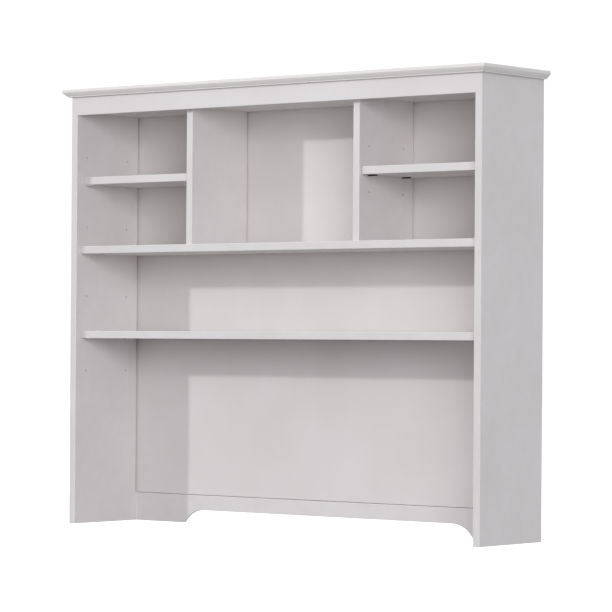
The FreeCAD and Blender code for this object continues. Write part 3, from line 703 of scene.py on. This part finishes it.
@dataclass
class Supports:
    """The flat spade supports under the loose shelves.

    Those of the right bay are dark plated steel. The others have a white coating.
    """

    dark: PlatedMetal = PlatedMetal("dark_plated_steel", "support_metal", "#2E2A29", "#201C1B",
                                    0.42)
    white: MouldedPlastic = MouldedPlastic("white_dip_coating", "support_coated")
    pin_length_mm: float = 9.0
    pin_drop_mm: float = 1.3       # top of the spade to the axis of its pin
    pin_radius_mm: float = 2.5
    pin_tip_mm: float = 0.7
    spade_mm: float = 2.6          # thickness
    spade_edge_mm: float = 1.0
    neck_share: float = 0.5        # width at the neck, as a share of the spade's width
    bead_mm: float = 0.5           # depth of the stiffening bead pressed into the underside
    flare: float = 0.3             # share of its length over which it widens from the neck
    power: int = 6                 # of the superellipse across it
    stem_rows: int = 22
    tip_rows: int = 14
    spade_segments: int = 56
    pin_segments: int = 32

    def sets(self) -> tuple[SupportSet, ...]:
        """The three sets of supports."""
        return (SupportSet("supports_lower_shelf", "lower_shelf_spades", self.white),
                SupportSet("supports_small_left", "left_shelf_spades", self.white),
                SupportSet("supports_small_right", "right_shelf_spades", self.dark))

    def spade(self, length: float, width: float) -> Shell:
        """A flat spade along +X with its top at z = 0.

        Its half width at share s of its length is the neck's at s = 0, grows as a smooth step to
        the full half width by s = flare, and closes as a half circle at its end. Each section is
        the superellipse |y/w|^power + |z/t|^power = 1, so its edges are soft. The underside has a
        bead: z falls by bead * (1 - (2y/w)^2)^2 * sin(pi s) where |y| < w/2.

        Args:
            length: From the pin to the spade's end.
            width: Across the spade.

        Returns:
            The spade.
        """
        half = width / 2
        thickness = self.spade_mm * MM / 2
        straight = 1 - half / length
        closing = np.sin(np.linspace(0, np.pi / 2, self.tip_rows))
        share = np.concatenate([np.linspace(0, straight, self.stem_rows)[:-1],
                                straight + (1 - straight) * closing])
        grow = np.clip(share / self.flare, 0, 1)
        grow = self.neck_share + (1 - self.neck_share) * grow * grow * (3 - 2 * grow)
        beyond = np.clip((share - straight) / (1 - straight), 0, 1)
        widths = half * grow * np.sqrt(np.clip(1 - beyond ** 2, 0, 1))
        around = np.linspace(0, 2 * np.pi, self.spade_segments, endpoint=False)
        unit_y = np.sign(np.cos(around)) * np.abs(np.cos(around)) ** (2 / self.power)
        unit_z = np.sign(np.sin(around)) * np.abs(np.sin(around)) ** (2 / self.power)
        y = widths[:, None] * unit_y[None, :]
        fade = np.minimum(1, widths / (self.spade_edge_mm * MM))[:, None]
        bead = np.clip(1 - (2 * unit_y[None, :]) ** 2, 0, 1) ** 2 * np.sin(np.pi * share)[:, None]
        z = thickness * unit_z[None, :] * fade - thickness
        z = z - self.bead_mm * MM * bead * (unit_z[None, :] < 0)
        x = np.broadcast_to((share * length)[:, None], y.shape)
        points = np.stack([x, y, z], axis=-1)
        start = np.broadcast_to(points[0].mean(axis=0), points[:1].shape)
        return grid_shell(np.concatenate([start, points]), wrap=True)

    def pin(self) -> Shell:
        """Turn the pin, with its eased tip, about its axis along -X at y = 0.

        Returns:
            The pin.
        """
        radius, deep = self.pin_radius_mm * MM, self.pin_length_mm * MM
        profile = rounded_profile([(0, -deep), (radius, -deep), (radius, 0), (0, 0)],
                                  self.pin_tip_mm * MM)
        lying = revolved(profile, self.pin_segments).turned(facing(Face.RIGHT))
        return lying.moved((0, 0, -self.pin_drop_mm * MM))

    def one(self, low: np.ndarray, high: np.ndarray, towards_right: bool) -> Shell:
        """Make a support in the place of one solid of the frame.

        Args:
            low: The solid's lowest corner.
            high: Its highest corner.
            towards_right: Whether the spade points to +X.

        Returns:
            The support: spade and pin. The solid's top is the pin's, which is over the spade.
        """
        pin = self.pin_length_mm * MM
        top = high[2] + (self.pin_drop_mm - self.pin_radius_mm) * MM
        body = joined([self.spade(high[0] - low[0] - pin, high[1] - low[1]), self.pin()])
        root = low[0] + pin if towards_right else high[0] - pin
        if not towards_right:
            body = body.turned(Matrix.Rotation(math.pi, 4, "Z"))
        return body.moved((root, (low[1] + high[1]) / 2, top))

    def make(self) -> None:
        """Make every set of supports. Those left of their shelf's middle point to the right."""
        materials = {finish: finish.build() for finish in (self.dark, self.white)}
        for chosen in self.sets():
            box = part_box(chosen.node)
            middle = (box[0].x + box[1].x) / 2
            shells = [self.one(low, high, low[0] < middle) for low, high in solids_of(chosen.node)]
            piece = make_piece(chosen.piece, joined(shells))
            dress(piece, materials[chosen.finish])
            settle(piece, chosen.finish.slot, chosen.node)


@dataclass
class Fittings:
    """Knock-down fittings and screws."""

    screw_segments: int = 48
    head_dome_mm: float = 1.9
    recess_mm: float = 1.3
    recess_arm_mm: float = 2.1
    recess_width_mm: float = 0.85
    recess_fade_mm: float = 0.5    # length over which an arm runs out
    seat_edge_mm: float = 0.15
    shank_share: float = 0.5       # radius of the shank, as a share of the head's
    point_from: float = 0.8        # share of the shank's length that isn't its point
    inner_rings: int = 26
    rim_rings: int = 10

    def pan_head(self, radius: float, shank: float, length: float) -> Shell:
        """A pan-head screw along -Z with its seat at z = 0, and a cross recess in its head.

        The head's height over radius r is dome * (1 - (r/R)^4). The recess takes depth * p from
        it, where p is a smooth bump across each arm of the cross: with q the distance from the
        nearer arm's middle line over the arm's half width, p = 1 - q^2, and 0 outside.

        Args:
            radius: Of the head.
            shank: Radius of the shank.
            length: From the seat to the tip.

        Returns:
            The screw.
        """
        rings = np.concatenate([np.linspace(0, 0.75, self.inner_rings),
                                np.linspace(0.78, 1, self.rim_rings)])
        angle = np.linspace(0, 2 * np.pi, self.screw_segments, endpoint=False)
        r = rings[:, None] * radius
        x, y = r * np.cos(angle), r * np.sin(angle)
        height = self.head_dome_mm * MM * (1 - (r / radius) ** 4) * np.ones_like(angle)
        near = np.minimum(np.abs(x), np.abs(y))
        far = np.maximum(np.abs(x), np.abs(y))
        across = np.clip(1 - (near / (self.recess_width_mm / 2 * MM)) ** 2, 0, 1)
        along = np.clip((self.recess_arm_mm * MM - far) / (self.recess_fade_mm * MM), 0, 1)
        height = height - self.recess_mm * MM * across * along
        head = np.stack([x, y, height], axis=-1)
        under = rounded_profile([(radius, 0), (shank, 0), (shank, -length * self.point_from),
                                 (0, -length)], self.seat_edge_mm * MM)
        ring = revolved(under, self.screw_segments).points.reshape(len(under), -1, 3)
        return grid_shell(np.concatenate([head, ring]), wrap=True)

    def back_screws(self) -> None:
        """Make the screws in the back panel, heads to the rear."""
        shells = []
        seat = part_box("back_panel")[1].y
        for low, high in solids_of("screws_back_panel"):
            radius = (high[0] - low[0]) / 2
            middle = (low + high) / 2
            screw = self.pan_head(radius, radius * self.shank_share, seat - low[1])
            shells.append(screw.turned(facing(Face.REAR)).moved((middle[0], seat, middle[2])))
        finish = PlatedMetal("zinc_plated_screw", "plated_steel", "#C9C4B4", "#A9A391", 0.32)
        piece = make_piece("back_panel_pan_heads", joined(shells), sharp_deg=50)
        dress(piece, finish.build())
        settle(piece, finish.slot, "screws_back_panel")

    def dress(self) -> None:
        """Finish the fittings whose solids are right as they are."""
        bolt = PlatedMetal("zinc_plated_bolt", "plated_steel", "#C6C2B6", "#A39D8C", 0.34).build()
        cam = PlatedMetal("die_cast_cam", "cam_zinc", "#A9AAAD", "#85868A", 0.48, 2.0, 0.04).build()
        beech = Timber("turned_beech", "dowel_wood", Axis.X, "#DDBB90", "#C09565").build()
        upright = Timber("turned_beech_upright", "dowel_wood", Axis.Z, "#DDBB90", "#C09565").build()
        brass = PlatedMetal("turned_brass", "insert_brass", "#C9A45C", "#A98545", 0.36).build()
        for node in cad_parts:
            if node.startswith("cam_bolts") or node in ("screws_partitions", "screws_cap"):
                dress_node(node, bolt)
            elif node.startswith("cam_locks"):
                dress_node(node, cam)
            elif node.startswith("dowels"):
                dress_node(node, upright if node == "dowels_partitions" else beech)
        dress_node("base_inserts", brass)


# ---------------------------------------------------------------------------------------------
# Studio


@dataclass(frozen=True)
class Lamp:
    """One round studio lamp.

    Its strength is the irradiance, in W/m2, on a surface that faces it.
    """

    name: str
    place: tuple[float, float, float]
    size: float
    strength: float
    colour: str


@dataclass
class Studio:
    """White floor, soft light from above and around, one broad key light and the camera.

    The key light stands a few metres off, so the shadows that it throws on the back panel widen
    from left to right and lengthen from top to bottom.
    """

    floor_half: float = 12.0
    floor_colour: str = "#F4F4F4"
    floor_shade: str = "#F1F1F1"
    floor_glow: float = 0.9
    floor_roughness: float = 0.9
    floor_clouds: float = 3.0      # clouds of tone to the metre
    backdrop: float = 1.1
    sky_colour: str = "#FBFCFF"
    sky: dict[Face, float] = field(default_factory=lambda: {
        Face.UP: 0.38, Face.FRONT: 0.44, Face.REAR: 0.85, Face.LEFT: 0.4, Face.RIGHT: 0.18})
    sky_from_below: float = 0.7    # share of it that comes from under the horizon
    horizon: tuple[float, float] = (-0.3, 0.1)  # heights between which it fades to that share
    key: Lamp = Lamp("key", (-3.68, -4.1, 2.23), 0.22, 0.57, "#FFFEFF")
    fill: Lamp = Lamp("fill", (4.75, -4.5, 1.6), 2.8, 1.0, "#FBFCFF")
    aim: tuple[float, float, float] = (0.0, 0.0, 0.5)
    camera_place: tuple[float, float, float] = (4.4615, -5.4263, 0.4389)
    heading_deg: float = 39.211
    pitch_deg: float = 0.692
    roll_deg: float = 0.383
    lens_mm: float = 178.62
    sensor_mm: float = 36.0
    reach: float = 60.0            # as far as the camera sees

    def floor(self) -> None:
        """Lay a wide plain floor under the base. It glows a little, and throws no light back."""
        half = self.floor_half
        ends = np.linspace(-half, half, 3)
        x, y = np.meshgrid(ends, ends)
        points = np.stack([x, y, np.full_like(x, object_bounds()[0].z)], axis=-1)
        ground = make_piece("studio_floor", grid_shell(points))
        material, tree, place = new_material("matt_floor")
        cloud = add(tree, "TexNoise", {"Vector": place, "Scale": self.floor_clouds, "Detail": 2.0})
        colour = add(tree, "Mix", {0: cloud, COLOUR_A: linear(self.floor_shade),
                                   COLOUR_B: linear(self.floor_colour)}, data_type="RGBA")
        shader = add(tree, "BsdfPrincipled", {"Base Color": colour.outputs[MIXED],
                                              "Roughness": self.floor_roughness,
                                              "Emission Color": (1, 1, 1, 1),
                                              "Emission Strength": self.floor_glow,
                                              "Specular IOR Level": 0.0})
        add(tree, "OutputMaterial", {"Surface": shader})
        dress(ground, material)
        ground.visible_diffuse = False
        ground.visible_glossy = False
        ground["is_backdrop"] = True

    def sky_light(self) -> None:
        """Soft light from all round, and a clean white backdrop.

        The light from a direction is the sum, over the faces, of the face's strength times the
        cosine of the angle between them, where that is above 0. It fades under the horizon.
        """
        world = bpy.data.worlds.new("white_studio")
        world.use_nodes = True
        tree = world.node_tree
        tree.nodes.clear()
        direction = add(tree, "TexCoord").outputs["Generated"]
        glow: Any = 0.0
        for face, strength in self.sky.items():
            cosine = add(tree, "VectorMath", {0: direction, 1: face.value}, operation="DOT_PRODUCT")
            lit = add(tree, "Math", {0: cosine.outputs["Value"], 1: 0.0}, operation="MAXIMUM")
            glow = add(tree, "Math", {0: lit, 1: strength, 2: glow}, operation="MULTIPLY_ADD")
        upward = add(tree, "SeparateXYZ", {0: direction}).outputs["Z"]
        low, high = self.horizon
        fade = add(tree, "MapRange", {0: upward, FROM_LOW: low, FROM_HIGH: high,
                                      TO_LOW: self.sky_from_below})
        glow = add(tree, "Math", {0: glow, 1: fade}, operation="MULTIPLY")
        seen = add(tree, "LightPath").outputs["Is Camera Ray"]
        strength = add(tree, "Mix", {0: seen, NUMBER_A: glow, NUMBER_B: self.backdrop})
        shade = add(tree, "Background", {"Color": linear(self.sky_colour), "Strength": strength})
        add(tree, "OutputWorld", {"Surface": shade})
        bpy.context.scene.world = world

    def lamp(self, choice: Lamp) -> None:
        """Stand one round lamp, with no falloff over distance.

        An area lamp of power P gives P / (4 d^2) on a surface that faces it at distance d; with
        a constant falloff it is P / 4, whatever the distance.

        Args:
            choice: The lamp.
        """
        lamp = bpy.data.lights.new(choice.name, "AREA")
        lamp.shape = "DISK"
        lamp.size = choice.size
        lamp.energy = 4 * choice.strength
        lamp.color = linear(choice.colour)[:3]
        lamp.use_nodes = True
        tree = lamp.node_tree
        glow = next(node for node in tree.nodes if node.type == "EMISSION")
        steady = add(tree, "LightFalloff", {"Strength": 1.0})
        tree.links.new(steady.outputs["Constant"], glow.inputs["Strength"])
        holder = bpy.data.objects.new(choice.name, lamp)
        place = Vector(choice.place)
        back = (place - Vector(self.aim)).to_track_quat("Z", "Y").to_matrix().to_4x4()
        holder.matrix_world = Matrix.Translation(place) @ back
        holder.visible_camera = False
        bpy.context.scene.collection.objects.link(holder)
        LOG.info("lamp %s stands at %s", choice.name, choice.place)

    def camera(self) -> None:
        """Stand the camera to the right of the front, a little below half height."""
        lens = bpy.data.cameras.new("camera")
        lens.lens = self.lens_mm
        lens.sensor_width = self.sensor_mm
        lens.clip_end = self.reach
        holder = bpy.data.objects.new("camera", lens)
        turn = (Matrix.Rotation(math.radians(self.heading_deg), 4, "Z")
                @ Matrix.Rotation(math.radians(90 + self.pitch_deg), 4, "X")
                @ Matrix.Rotation(math.radians(self.roll_deg), 4, "Z"))
        holder.matrix_world = Matrix.Translation(self.camera_place) @ turn
        bpy.context.scene.collection.objects.link(holder)
        bpy.context.scene.camera = holder

    def build(self) -> None:
        """Set up the whole studio."""
        self.floor()
        self.sky_light()
        self.lamp(self.key)
        self.lamp(self.fill)
        self.camera()
        bpy.context.scene.view_settings.view_transform = "Standard"
        bpy.context.scene.view_settings.look = "None"


def main() -> None:
    """Dress the hutch, make its small fittings and set up the studio."""
    logging.basicConfig(level=logging.INFO, format="%(name)s: %(message)s")
    Studio().build()
    Case().dress()
    cap = Cap()
    cap.dress()
    cap.covers()
    Shelves().dress()
    Supports().make()
    fittings = Fittings()
    fittings.dress()
    fittings.back_screws()


if __name__ == "__main__":
    main()
